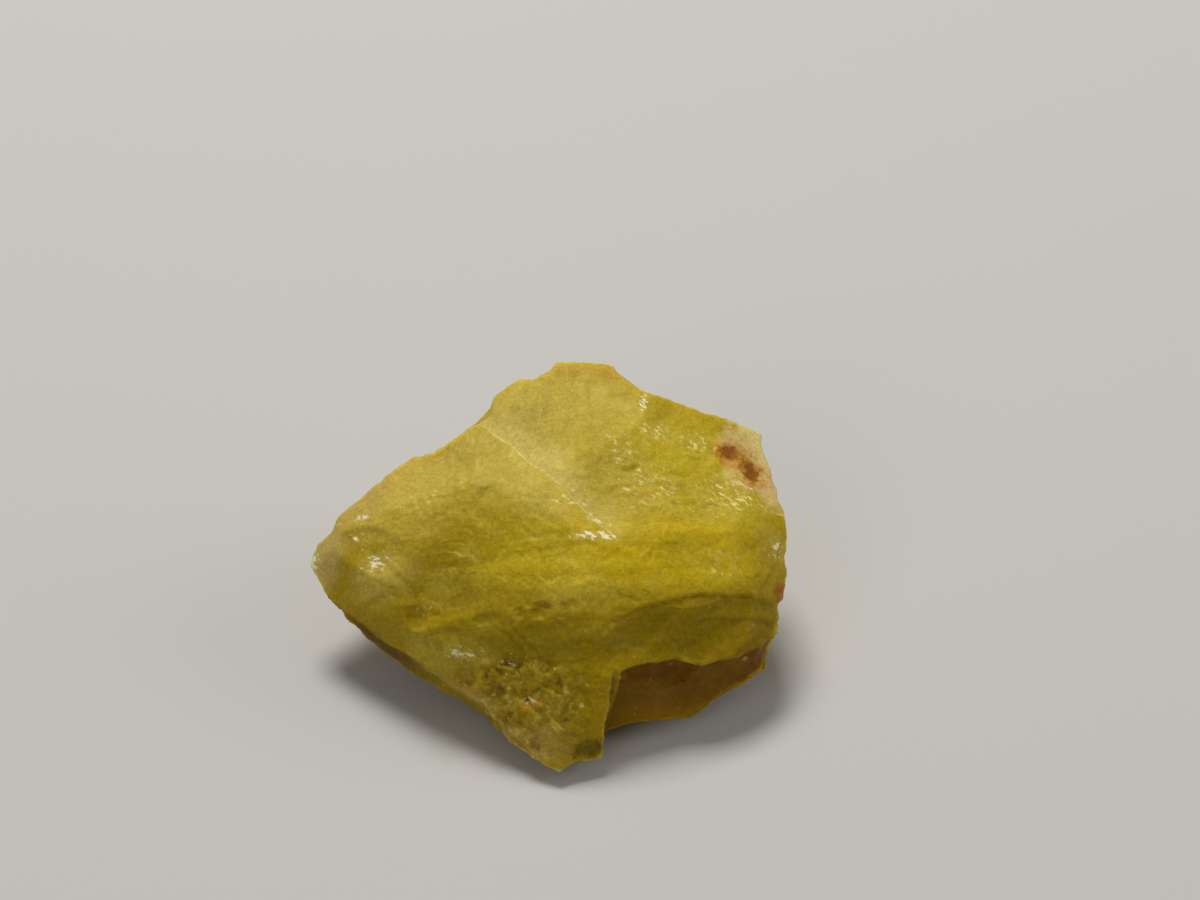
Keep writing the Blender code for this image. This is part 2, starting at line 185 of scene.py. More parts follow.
def scramble(cells, salt):
    """A number from 0 to 1 for each row of whole numbers: they are multiplied by large odd
    numbers, added, and their bits folded over each other."""
    x, y, z = cells.astype(np.uint32).T
    mixed = x * np.uint32(374761393) + y * np.uint32(668265263) + z * np.uint32(2246822519)
    mixed += np.uint32(salt * 3266489917 % 2**32)
    for shift in (15, 13, 16):
        mixed = (mixed ^ (mixed >> np.uint32(shift))) * np.uint32(2654435761)
    return (mixed >> np.uint32(8)) / 2**24


def swell(places, span, salt=0):
    """Smooth noise from about -0.7 to 0.7: random slopes on a lattice as wide as the span,
    blended between each cell's eight corners with a quintic ease."""
    scaled = places / span
    low = np.floor(scaled)
    inside = scaled - low
    ease = inside**3 * (inside * (inside * 6 - 15) + 10)
    total = np.zeros(len(places))
    for corner in itertools.product((0, 1), repeat=3):
        at = (low + corner).astype(np.int64)
        slope = np.stack([scramble(at, salt * 3 + k + 1) for k in range(3)], axis=1) * 2 - 1
        share = np.prod(np.where(np.array(corner) == 1, ease, 1 - ease), axis=1)
        total += share * ((inside - corner) * slope).sum(axis=1)
    return total


def swells(places, span, octaves=3, salt=0):
    """Swells of the span and of ever finer ones, each half as wide and half as high."""
    return sum(swell(places, span / 2**k, salt + k) / 2**k for k in range(octaves))


def flakes(places, span, salt=0):
    """Cells of random size. For each place it gives the way from its cell's middle in spans,
    a random number and a random lean of the cell, and how far off the next cell is."""
    scaled = places / span
    low = np.floor(scaled)
    best = np.full(len(places), 9.0)
    second = np.full(len(places), 9.0)
    offset = np.zeros_like(places)
    owner = np.zeros_like(places)
    for step in itertools.product((-1, 0, 1), repeat=3):
        at = (low + step).astype(np.int64)
        jitter = np.stack([scramble(at, salt * 3 + k + 1) for k in range(3)], axis=1)
        away = scaled - at - jitter
        far = (away**2).sum(axis=1)
        nearer = far < best
        second = np.where(nearer, best, np.minimum(second, far))
        offset = np.where(nearer[:, None], away, offset)
        owner = np.where(nearer[:, None], at, owner)
        best = np.where(nearer, far, best)
    owner = owner.astype(np.int64)
    number = scramble(owner, salt + 71)
    lean = np.stack([scramble(owner, salt + 81 + k) for k in range(3)], axis=1) - 0.5
    return offset, number, lean, np.sqrt(second) - np.sqrt(best)


def ease(low, high, values):
    """0 below low and 1 above high, with a smooth turn between them."""
    t = np.clip((values - low) / (high - low), 0, 1)
    return t * t * (3 - 2 * t)


def patch(places, middle, reach, soft=0.5):
    """1 inside an ellipsoid, falling to 0 by its reach."""
    far = np.linalg.norm((places - middle) / reach, axis=1)
    return 1 - ease(1 - soft, 1, far)


def ball_grid(side):
    """Directions of a cube whose faces carry a square grid, pushed out to a ball. The grid is
    spaced by the tangent of the angle, which keeps its squares alike. Gives them with quads
    that face outwards."""
    first, second = np.meshgrid(np.arange(side + 1), np.arange(side + 1), indexing="ij")
    corners = []
    for axis in range(3):
        for end in (0, side):
            at = np.empty((side + 1, side + 1, 3), np.int64)
            at[..., axis] = end
            at[..., (axis + 1) % 3] = first
            at[..., (axis + 2) % 3] = second
            loop = [at[:-1, :-1], at[1:, :-1], at[1:, 1:], at[:-1, 1:]]
            corners.append(np.stack(loop if end else loop[::-1], axis=2).reshape(-1, 4, 3))
    corners = np.concatenate(corners)
    lattice, quads = np.unique(corners.reshape(-1, 3), axis=0, return_inverse=True)
    cube = np.tan((lattice / side * 2 - 1) * math.pi / 4)
    return cube / np.linalg.norm(cube, axis=1)[:, None], quads.reshape(-1, 4)


def block():
    """The convex hull of the corners, as a bmesh."""
    bm = bmesh.new()
    for place in CORNERS:
        bm.verts.new(Vector(place))
    hull = bmesh.ops.convex_hull(bm, input=bm.verts[:])
    inside = [part for part in hull["geom_interior"] if isinstance(part, bmesh.types.BMVert)]
    bmesh.ops.delete(bm, geom=inside, context="VERTS")
    bmesh.ops.recalc_face_normals(bm, faces=bm.faces[:])
    return bm


def chips(bm):
    """Small shells at random places along the block's edges, most of them tiny."""
    rng = random.Random(23)
    edges = [edge for edge in bm.edges if edge.calc_face_angle(0.0) > math.radians(20)]
    lengths = [edge.calc_length() for edge in edges]
    made = []
    for edge in rng.choices(edges, weights=lengths, k=CHIP_COUNT):
        at = edge.verts[0].co.lerp(edge.verts[1].co, rng.random())
        outward = sum((face.normal for face in edge.link_faces), Vector()).normalized()
        width = 0.14 + 0.5 * rng.random() ** 2.5
        made.append((tuple(at), tuple(outward), width, width * rng.uniform(0.5, 1.0),
                     width * rng.uniform(0.15, 0.3), rng.uniform(-90, 90)))
    return made


def reach_of_planes(clear, speed):
    """How far a way goes before it meets a plane: how clear the heart is of the plane, over
    the way's speed towards it. It never meets a plane that it goes away from."""
    return np.where(speed > 1e-6, clear / np.maximum(speed, 1e-6), np.inf)


def scars(heart, normals, heights):
    """Shallow shells at random places on the back and the underside of the block."""
    rng = random.Random(57)
    made = []
    for _ in range(SCAR_COUNT):
        way = Vector([rng.gauss(0, 1) * reach for reach in SPREAD]).normalized()
        reach = reach_of_planes(heights - normals @ heart, normals @ np.array(way))
        nearest = int(reach.argmin())
        at = Vector(heart) + way * float(reach[nearest])
        facing = Vector(normals[nearest])
        width = rng.uniform(0.4, 1.7)
        depth = width * rng.uniform(0.06, 0.13)
        tilt = Vector([rng.uniform(-0.2, 0.2) for _ in range(3)])
        if facing.dot(Vector(TOWARDS_VIEWER)) < 0.1:
            made.append((tuple(at), tuple((facing + tilt).normalized()), width,
                         width * rng.uniform(0.4, 0.9), depth, rng.uniform(-90, 90)))
    return made


def reach_of_shell(heart, ways, shell, salt):
    """How far along each way the stone goes before it meets the shell: the first root of the
    quadratic for a flattened ball, whose size wanders a little from place to place."""
    at, faces, width, height, depth, roll = shell
    outward = Vector(faces).normalized()
    level = Vector((0, 0, 1)).cross(outward).normalized()
    turn = Matrix((level, outward.cross(level), outward)).transposed()
    turn = turn @ Matrix.Rotation(math.radians(roll), 3, "Z")
    size = np.array((width * BALL_OVER_RIM, height * BALL_OVER_RIM, depth * 2))
    middle = np.array(at) + np.array(outward) * depth
    turn = np.array(turn)
    start = (heart - middle) @ turn / size
    go = ways @ turn / size
    a = (go**2).sum(axis=1)
    b = go @ start
    # Only these ways can meet the ball where it is at its largest
    near = np.flatnonzero((b < 0) & (b * b > a * (start @ start - 1.2)))
    a, b, go = a[near], b[near], go[near]
    radius = 1.0
    for _ in range(2):
        under = b * b - a * (start @ start - radius**2)
        first = (-b - np.sqrt(np.maximum(under, 0))) / a
        radius = 1 + 0.1 * swells(start + go * first[:, None] + middle, 0.7, 2, salt)
    found = np.full(len(ways), np.inf)
    found[near[under > 0]] = first[under > 0]
    return found


def broken_block(ways):
    """The place that each way from the heart reaches on the block, with every break cut away:
    the least of the reaches to the block's planes, the shells and the step's walls."""
    heart = np.array(HEART)
    bm = block()
    normals = np.array([face.normal for face in bm.faces])
    heights = np.array([face.normal.dot(face.verts[0].co) for face in bm.faces])
    small = chips(bm)
    bm.free()
    planes = reach_of_planes(heights - normals @ heart, ways @ normals.T)
    # A soft least of the planes rounds the faint ridges wide and the sharp ones little
    least = planes.min(axis=1)
    on_top = patch(heart + ways * least[:, None], (2.2, 1.4, 5.8), (2.4, 3.4, 1.6), 0.9)
    spread = (0.02 + 0.3 * on_top) / np.linalg.norm(ways, axis=1)
    reach = least - spread * np.log(np.exp((least[:, None] - planes) / spread[:, None]).sum(axis=1))
    small += scars(heart, normals, heights)
    for number, shell in enumerate((*SHELLS, *PITS, *small)):
        reach = np.minimum(reach, reach_of_shell(heart, ways, shell, number))
    walls = []
    for faces in (FOOT_FACES, SPUR_WALL_FACES):
        faces = np.array(faces) / np.linalg.norm(faces)
        walls.append(reach_of_planes((np.array(BREAK_AT) - heart) @ faces, ways @ faces))
    reach = np.minimum(reach, np.maximum(*walls))
    return heart + ways * reach[:, None]


def front_marks(places):
    """How far each place lies within each part of the front: 0 outside and 1 well inside, or
    for the hollow and its ledge the distance below their rim in millimetres."""
    x = places[:, 0]
    up = places @ np.array(UP_FRONT)
    wander = swells(places, 0.5, 3, 91)
    low = 1 - ease(-0.9, -0.5, places[:, 1])

    def under(line, wobble=0.05):
        return np.interp(x, *zip(*line)) - up - wobble * wander

    rim = np.minimum(under(RIM), 2.5 * (x - 0.92))
    wall = x - np.interp(up, *zip(*FOOT_WALL))
    return {
        "foot": ease(-0.05, 0.05, under(LIP, 0.08)) * ease(-0.04, 0.04, wall) * low,
        "hollow": np.where(low > 0, rim, -1.0),
        "ledge": np.where((low > 0) & (x > 3.6), under(LEDGE), -1.0),
        "strip": ease(-0.1, 0.1, -under(RIDGE, 0.2)) * ease(2.9, 3.2, places[:, 2]),
        # The stretch below the wavy lower edge, which the colour darkens with painted shade
        "lower": ease(-0.16, 0.16, under(LOWER_EDGE, 0.35)) * ease(-4.3, -3.1, x) * (1 - ease(0.4, 1.8, x)) * low,
    }


def neighbours(quads):
    """Every edge of the quads once each way, as pairs of point numbers."""
    ends = np.concatenate([quads[:, [k, (k + 1) % 4]] for k in range(4)])
    ends = np.unique(np.sort(ends, axis=1), axis=0)
    return np.concatenate([ends, ends[:, ::-1]])


def relaxed(values, ends, times, share=0.5):
    """Each value drawn towards the mean of its neighbours, a number of times."""
    count = np.bincount(ends[:, 0], minlength=len(values)).astype(float)
    for _ in range(times):
        if values.ndim == 1:
            mean = np.bincount(ends[:, 0], values[ends[:, 1]], len(values)) / count
        else:
            mean = np.stack([np.bincount(ends[:, 0], values[ends[:, 1], k], len(values)) / count
                             for k in range(values.shape[1])], axis=1)
        values = values + share * (mean - values)
    return values


def outward_of(places, quads):
    """Unit normals: each quad's diagonals crossed, added up at its corners."""
    a, b, c, d = (places[quads[:, k]] for k in range(4))
    across = np.cross(c - a, d - b)
    total = np.stack([np.bincount(quads.ravel(), np.repeat(across[:, k], 4), len(places))
                      for k in range(3)], axis=1)
    return total / np.maximum(np.linalg.norm(total, axis=1)[:, None], 1e-12)


def step_profile(values):
    """A ledge every whole number: it climbs slowly and drops in the last third."""
    part = values - np.floor(values)
    return np.where(part < 0.7, part / 0.7, (1 - part) / 0.3)


def terraces(values, tread=0.8):
    """Whole steps joined by short steep risers: nearly level for the tread's share."""
    low = np.floor(values)
    return low + ease(tread, 1.0, values - low)


def relief(places, stands, unseen, marks):
    """Height of the fine relief over each place, in millimetres: the sum of swells, steps,
    ledges and leaning flakes, each kept to its own part of the stone."""
    # Broken rims are more ragged than the faces between them
    height = 0.13 * swells(places, 0.55, 2, 13) * ease(0.02, 0.12, stands)
    height += 0.05 * swells(places, 1.9, 3, 3) + 0.012 * swells(places, 0.3, 2, 9)

    # A wide soft valley runs below the ridge on the left of the front
    height -= 0.04 * patch(places, (-2.3, -0.6, 4.5), (3.6, 1.5, 1.3), 1.0)

    # Thin broken layers lie over each other, so the skin steps down at ragged edges
    sheets = 4.2 * swells(places, 2.6, 4, 51)
    height += 0.035 * (terraces(sheets) - sheets)
    sheets = 5.0 * swells(places, 1.1, 3, 57)
    height += 0.012 * (terraces(sheets, 0.75) - sheets)

    # The hollow and the ledge in it drop at their rims and level out inwards, the lip stands
    # over the foot, and the strip above the ridge is a little raised
    hollow, ledge = marks["hollow"], marks["ledge"]
    height -= 0.08 * ease(0.0, 0.06, hollow) * (1 - ease(0.1, 1.0, hollow)) * ease(0.9, 2.6, places[:, 0])
    height -= 0.05 * ease(0.0, 0.06, ledge) * (1 - ease(0.1, 0.8, ledge)) * ease(3.6, 4.8, places[:, 0])
    height -= 0.10 * marks["foot"]
    strip = marks["strip"] * patch(places, (-3.4, 1.0, 4.8), (3.8, 1.6, 1.8), 0.5)
    height += 0.05 * strip

    # The upper left rim is toothed
    toothed = patch(places, (-4.2, 3.1, 4.9), (3.8, 2.0, 1.7)) * ease(0.0, 0.06, stands)
    height += 0.3 * toothed * swells(places, 0.55, 2, 17)

    # Growth ledges that fan out over the right of the front
    front = patch(places, (3.8, -1.3, 4.2), (4.0, 1.8, 1.5), 0.6) * (1 - ease(-0.1, 0.0, hollow))
    warp = 0.5 * swells(places, 2.0, 3, 21)
    down = (places @ np.array((-0.1, 0.84, 0.53)) + 0.5 * warp) / 0.62
    height += front * 0.014 * (step_profile(down) - 0.5)
    left = patch(places, (-3.0, -1.2, 3.8), (3.6, 2.0, 1.6))
    down = (places @ np.array((0.2, 0.84, 0.53)) + 0.6 * warp) / 0.9
    height += left * 0.008 * (step_profile(down) - 0.5)

    # A step crosses the top from the back rim to the front ridge, and a short one near the peak
    across = places @ np.array((0.744, 0.668, 0.0)) - 0.85 + 0.16 * swells(places, 0.8, 3, 61)
    crossed = patch(places, (-0.1, 1.4, 5.8), (2.9, 3.2, 1.3), 0.25)
    height -= 0.07 * crossed * ease(-0.06, 0.06, across) * (1 - ease(0.5, 2.6, across))
    peak = places @ np.array((0.97, 0.24, 0.0)) - 3.63 + 0.2 * swells(places, 0.6, 3, 63)
    height -= 0.05 * patch(places, (2.8, 4.1, 6.3), (1.6, 1.0, 0.7), 0.4) * ease(-0.05, 0.05, peak)

    # The back and the underside broke along coarser layers
    coarse = 0.13 + 0.87 * unseen
    sheets = 3.0 * swells(places, 2.2, 4, 71)
    height += 0.10 * coarse * (terraces(sheets, 0.85) - sheets)
    away, number, slope, _ = flakes(places + 0.15 * warp[:, None], 0.8, 73)
    height += coarse * (0.03 * (number - 0.5) + 0.09 * (away * slope).sum(axis=1))

    # Hackly flakes on the spur
    spur = patch(places, (-0.6, -4.2, 1.7), (2.3, 1.9, 1.9), 0.4)
    for span, level, lean, salt in ((0.6, 0.07, 0.16, 31), (0.26, 0.05, 0.14, 35), (0.13, 0.02, 0.08, 37)):
        away, number, slope, _ = flakes(places + 0.1 * warp[:, None], span, salt)
        height += spur * (level * (number - 0.5) + lean * span * (away * slope).sum(axis=1) * 2)

    # A flaky stretch of the top that glitters, and faint flakes all over
    glitter = patch(places, (4.0, 1.6, 5.4), (2.6, 2.2, 1.2))
    away, number, slope, _ = flakes(places * (1, 1.6, 1), 0.5, 41)
    height += glitter * (0.03 * (number - 0.5) + 0.11 * (away * slope).sum(axis=1))
    away, number, slope, _ = flakes(places, 0.32, 45)
    height += 0.02 * (away * slope).sum(axis=1)
    return height


def crystal_surface():
    """(places, quads, marks): the stone's surface in millimetres, and for each place how far
    it stands out of its surroundings, whether it lies on the back or the underside, how far
    up its broad face looks, and how far it lies in each part of the front."""
    ways, quads = ball_grid(GRID)
    places = broken_block(ways * SPREAD)
    ends = neighbours(quads)
    places = relaxed(places, ends, 1)
    normals = outward_of(places, quads)
    upward = relaxed(normals[:, 2], ends, 1)
    stands = ((places - relaxed(places, ends, 10)) * normals).sum(axis=1)
    shown = relaxed(normals @ np.array(TOWARDS_VIEWER), ends, 4)
    unseen = 1 - ease(-0.15, 0.15, shown)
    marks = front_marks(places)
    places = places + normals * relief(places, stands, unseen, marks)[:, None]
    places = relaxed(places, ends, 1, 0.2)
    normals = outward_of(places, quads)
    stands = ((places - relaxed(places, ends, 14)) * normals).sum(axis=1)
    on_floor = places[:, 2] < 0.03
    places[:, 2] = np.maximum(places[:, 2], 0.0)
    stands[on_floor] = 0
    marks["hollow"] = ease(0.0, 0.08, marks["hollow"]) * (0.3 + 0.7 * ease(1.2, 3.6, places[:, 0]))
    marks["ledge"] = ease(0.0, 0.08, marks["ledge"])
    marks.update(stands=stands, unseen=unseen, upward=upward)
    return places, quads, marks


def surface_piece(name, places, quads, **attributes):
    """An object from places in millimetres and quads, with named values for its points."""
    mesh = bpy.data.meshes.new(name)
    mesh.from_pydata(places * MM, [], quads)
    for label, values in attributes.items():
        layer = mesh.attributes.new(label, "FLOAT", "POINT")
        layer.data.foreach_set("value", values.astype(np.float32))
    mesh.shade_smooth()
    mesh.update()
    piece = bpy.data.objects.new(name, mesh)
    bpy.context.scene.collection.objects.link(piece)
    return piece


class Wire:
    """An output of a node, on which arithmetic adds the Math nodes for it."""

    def __init__(self, nodes, socket):
        self.nodes = nodes
        self.socket = socket

    def _math(self, operation, *values):
        return self.nodes.add("ShaderNodeMath", {"operation": operation}, dict(enumerate(values)))

    def __add__(self, other):
        return self._math("ADD", self, other)

    def __radd__(self, other):
        return self._math("ADD", other, self)

    def __sub__(self, other):
        return self._math("SUBTRACT", self, other)

    def __rsub__(self, other):
        return self._math("SUBTRACT", other, self)

    def __mul__(self, other):
        return self._math("MULTIPLY", self, other)

    def __rmul__(self, other):
        return self._math("MULTIPLY", other, self)

    def at_least(self, other):
        return self._math("MAXIMUM", self, other)

    def at_most(self, other):
        return self._math("MINIMUM", self, other)


class Nodes:
    """The nodes of one material, with its Principled shader."""

    def __init__(self, name):
        self.material = bpy.data.materials.new(name)
        self.material.use_nodes = True
        self.tree = self.material.node_tree
        self.shader = self.tree.nodes["Principled BSDF"]
        self.rags = {}
        self.place = self.vector("SCALE", self.add("ShaderNodeTexCoord", output="Object"), scale=1 / MM)
        drift = self.noise(0.4, 2.0, 0.5, output="Color")
        self.bent = self.vector("ADD", self.place, self.vector("SCALE", drift, scale=0.25))

    def fill(self, socket, value):
        """Links a wire to a socket, or sets a plain value on it."""
        if isinstance(value, Wire):
            self.tree.links.new(value.socket, socket)
        else:
            socket.default_value = value

    def add(self, kind, settings=None, inputs=None, output=0):
        """Any node: its type, its settings, its inputs by name or number, and the output."""
        node = self.tree.nodes.new(kind)
        for label, value in (settings or {}).items():
            setattr(node, label, value)
        for label, value in (inputs or {}).items():
            self.fill(node.inputs[label], value)
        return Wire(self, node.outputs[output])

    def vector(self, operation, first, second=None, scale=None):
        """Vector arithmetic: a vector, or a number for a length or a dot product."""
        inputs = {0: first}
        if second is not None:
            inputs[1] = second
        if scale is not None:
            inputs["Scale"] = scale
        output = "Value" if operation in ("LENGTH", "DOT_PRODUCT") else "Vector"
        return self.add("ShaderNodeVectorMath", {"operation": operation}, inputs, output)

    def noise(self, span, detail=3.0, rough=0.55, place=None, twist=0.0, output="Fac"):
        """Soft noise from 0 to 1 that changes over the span, or its colour."""
        inputs = {"Vector": place or self.place, "Scale": 1 / span, "Detail": detail,
                  "Roughness": rough, "Distortion": twist}
        return self.add("ShaderNodeTexNoise", {"noise_dimensions": "3D"}, inputs, output)

    def cells(self, span, output):
        """Random cells as wide as the span: the colour of each, or how far off its middle is."""
        inputs = {"Vector": self.bent, "Scale": 1 / span}
        return self.add("ShaderNodeTexVoronoi", {"feature": "F1"}, inputs, output)

    def glints(self, span, most):
        """1 in the few cells whose random number is over a share, and 0 elsewhere, and a
        random way for each of them to lean."""
        colour = self.cells(span, "Color")
        number = self.vector("DOT_PRODUCT", colour, (1, 0, 0))
        inside = self.ramp(number - most, 0.0, 0.01)
        inside = inside * self.ramp(self.cells(span, "Distance"), 0.5, 0.36)
        lean = self.vector("SUBTRACT", self.vector("MULTIPLY", colour, (0.6, 0.6, 0.6)), (0.3, 0.3, -0.05))
        return inside, self.vector("SCALE", lean, scale=inside)

    def ramp(self, value, low, high, to_low=0.0, to_high=1.0):
        """A smooth turn from one value at low to another at high."""
        return self.add(
            "ShaderNodeMapRange",
            {"interpolation_type": "SMOOTHSTEP"},
            {"Value": value, "From Min": low, "From Max": high, "To Min": to_low, "To Max": to_high},
        )

    def mix(self, share, first, second):
        """Two colours mixed: all first at share 0 and all second at share 1."""
        node = self.tree.nodes.new("ShaderNodeMix")
        node.data_type = "RGBA"
        self.fill(node.inputs[0], share)
        self.fill(node.inputs[6], first)
        self.fill(node.inputs[7], second)
        return Wire(self, node.outputs[2])

    def zone(self, middle, reach, soft=0.45, wobble=0.35, span=0.9):
        """1 inside an ellipsoid on the stone and 0 outside it, with a ragged rim."""
        if span not in self.rags:
            self.rags[span] = self.noise(span, 6.0, 0.7) - 0.5
        away = self.vector("DIVIDE", self.vector("SUBTRACT", self.place, middle), reach)
        far = self.vector("LENGTH", away) + wobble * 3 * self.rags[span]
        return self.ramp(far, 1 + soft / 2, 1 - soft / 2 - 0.001)

    def along(self, way, start=0.0):
        """How far a place lies along a way, in millimetres."""
        return self.vector("DOT_PRODUCT", self.place, way) - start

    def attribute(self, name):
        """One of the named values that the surface carries."""
        return self.add("ShaderNodeAttribute", {"attribute_name": name}, output="Fac")


# Tints of the stone, where they lie and how strongly they show:
# middle, reach, colour, share, softness, wobble, span of the wobble
TINTS = (
    # The milky top and the paler left strip
    ((0.2, 2.4, 6.2), (4.2, 3.6, 1.6), (0.54, 0.405, 0.03), 0.8, 0.9, 0.3, 1.2),
    ((-0.3, 1.3, 5.7), (2.0, 1.5, 1.2), (0.56, 0.44, 0.055), 0.4, 1.0, 0.5, 0.8),
    ((0.9, 4.2, 6.6), (1.9, 1.4, 0.8), (0.60, 0.47, 0.08), 0.35, 0.9, 0.5, 0.7),
    ((-4.2, 2.4, 4.9), (2.8, 1.6, 1.4), (0.58, 0.42, 0.05), 0.7, 0.9, 0.3, 0.9),
    ((5.2, 1.8, 5.2), (2.4, 2.2, 1.0), (0.56, 0.43, 0.02), 0.7, 0.8, 0.4, 0.8),
    # The left tip
    ((-6.9, 0.9, 3.0), (1.0, 1.0, 1.1), (0.56, 0.43, 0.14), 0.85, 0.8, 0.3, 0.5),
    # The front: pale places on the left, a greener stretch under the ridge, darkened as painted
    # shade of the shallow valley there, and brighter bands to the right
    ((-4.4, 0.9, 4.5), (2.0, 0.9, 0.8), (0.66, 0.50, 0.07), 0.7, 0.9, 0.4, 0.8),
    ((-4.8, -0.5, 3.4), (1.1, 0.7, 0.9), (0.62, 0.47, 0.10), 0.6, 1.0, 0.4, 0.5),
    ((4.0, 3.0, 5.8), (1.7, 1.3, 0.8), (0.62, 0.48, 0.02), 0.6, 1.0, 0.4, 0.5),
    # A greener, darker stretch under the ridge: its own tone, and painted shade of the valley there
    ((-3.0, -1.2, 3.9), (1.8, 0.9, 0.9), (0.25, 0.18, 0.002), 0.5, 1.0, 0.5, 1.0),
    ((0.0, -1.2, 4.8), (2.8, 1.2, 0.8), (0.60, 0.45, 0.012), 0.7, 1.2, 0.4, 0.9),
    ((4.0, -1.0, 4.5), (3.2, 1.4, 0.8), (0.66, 0.48, 0.008), 0.7, 0.9, 0.4, 0.7),
    # The iron-stained underside
    ((0.6, -0.5, -0.3), (7.5, 6.5, 1.2), (0.13, 0.055, 0.002), 0.8, 0.8, 0.3, 0.8),
    # The spur, its pale lower edge and its dark pockets, and bright places near it
    ((-0.5, -4.3, 1.6), (1.9, 1.5, 1.5), (0.50, 0.33, 0.02), 0.8, 0.7, 0.4, 0.5),
    ((1.0, -4.0, 2.0), (1.3, 1.2, 1.4), (0.50, 0.34, 0.004), 0.6, 0.8, 0.4, 0.5),
    ((-2.9, -2.7, 2.4), (1.6, 0.7, 0.6), (0.74, 0.56, 0.06), 0.8, 0.9, 0.4, 0.5),
    ((-2.2, -3.6, 1.35), (1.4, 0.7, 0.5), (0.66, 0.42, 0.12), 0.75, 0.8, 0.5, 0.4),
    ((-0.5, -4.8, 0.9), (1.3, 0.8, 0.5), (0.66, 0.42, 0.12), 0.7, 0.8, 0.5, 0.4),
    ((0.9, -2.3, 4.3), (1.3, 0.7, 0.5), (0.66, 0.50, 0.05), 0.5, 0.9, 0.4, 0.5),
    ((4.9, -0.9, 4.3), (1.6, 0.7, 0.5), (0.68, 0.50, 0.008), 0.6, 0.9, 0.4, 0.6),
    ((1.15, -4.9, 0.85), (0.5, 0.4, 0.26), (0.06, 0.02, 0.002), 0.8, 0.9, 1.3, 0.25),
    ((-1.5, -3.75, 1.95), (0.3, 0.3, 0.2), (0.08, 0.035, 0.002), 0.8, 0.6, 0.7, 0.25),
    # An orange spot at the golden glint on the spur: partly its own colour, partly painted glint
    ((-0.5, -4.1, 1.85), (0.4, 0.3, 0.25), (0.80, 0.42, 0.02), 0.8, 0.6, 0.7, 0.2),
    # The amber rim, amber partly in its own tone and partly as painted glow of light through the
    # thin edge, the pale corner and the rust in its pits and on the right edge
    ((2.3, 5.4, 6.6), (1.6, 0.45, 0.5), (0.50, 0.27, 0.02), 0.5, 0.8, 0.4, 0.5),
    ((4.9, 5.1, 5.7), (1.9, 0.4, 0.4), (0.60, 0.29, 0.06), 0.55, 0.8, 0.5, 0.4),
    ((-5.6, 2.0, 4.2), (1.5, 0.7, 0.8), (0.58, 0.38, 0.10), 0.6, 0.8, 0.4, 0.5),
    ((6.2, 3.5, 4.8), (1.1, 1.6, 1.1), (0.74, 0.58, 0.26), 0.85, 0.5, 0.6, 0.6),
    ((6.6, 2.5, 4.4), (0.4, 0.9, 0.5), (0.72, 0.50, 0.22), 0.7, 0.7, 0.5, 0.5),
    ((5.5, 3.1, 5.1), (0.7, 0.5, 0.5), (0.60, 0.26, 0.02), 0.7, 0.9, 1.0, 0.3),
    ((6.0, 2.6, 4.8), (0.45, 0.65, 0.5), (0.60, 0.26, 0.02), 0.7, 0.9, 1.0, 0.3),
    ((5.3, 3.2, 5.1), (0.46, 0.24, 0.3), (0.32, 0.075, 0.004), 0.9, 0.7, 1.2, 0.22),
    ((5.98, 2.6, 4.78), (0.24, 0.44, 0.3), (0.32, 0.075, 0.004), 0.9, 0.7, 1.2, 0.22),
    ((6.8, -0.8, 3.05), (0.3, 0.35, 0.3), (0.40, 0.10, 0.01), 0.8, 0.7, 0.5, 0.2),
)


# Healed cracks: the way across each, how far along it the crack lies, the middle and reach of
# the part that shows, and how pale it is
CRACKS = (
    ((0.744, 0.668, 0.0), 0.85, (-0.1, 1.4, 5.8), (2.9, 3.2, 1.3), 1.0),
    ((0.35, 0.3, 0.89), 3.3, (-2.5, 4.9, 4.0), (2.6, 1.6, 1.6), 0.9),
    ((-0.8, 0.2, 0.56), 0.1, (3.4, 5.3, 3.8), (1.6, 1.4, 2.2), 0.9),
    ((-0.3, 0.86, 0.4), 0.9, (6.6, 1.2, 2.9), (1.2, 2.2, 1.5), 0.8),
)
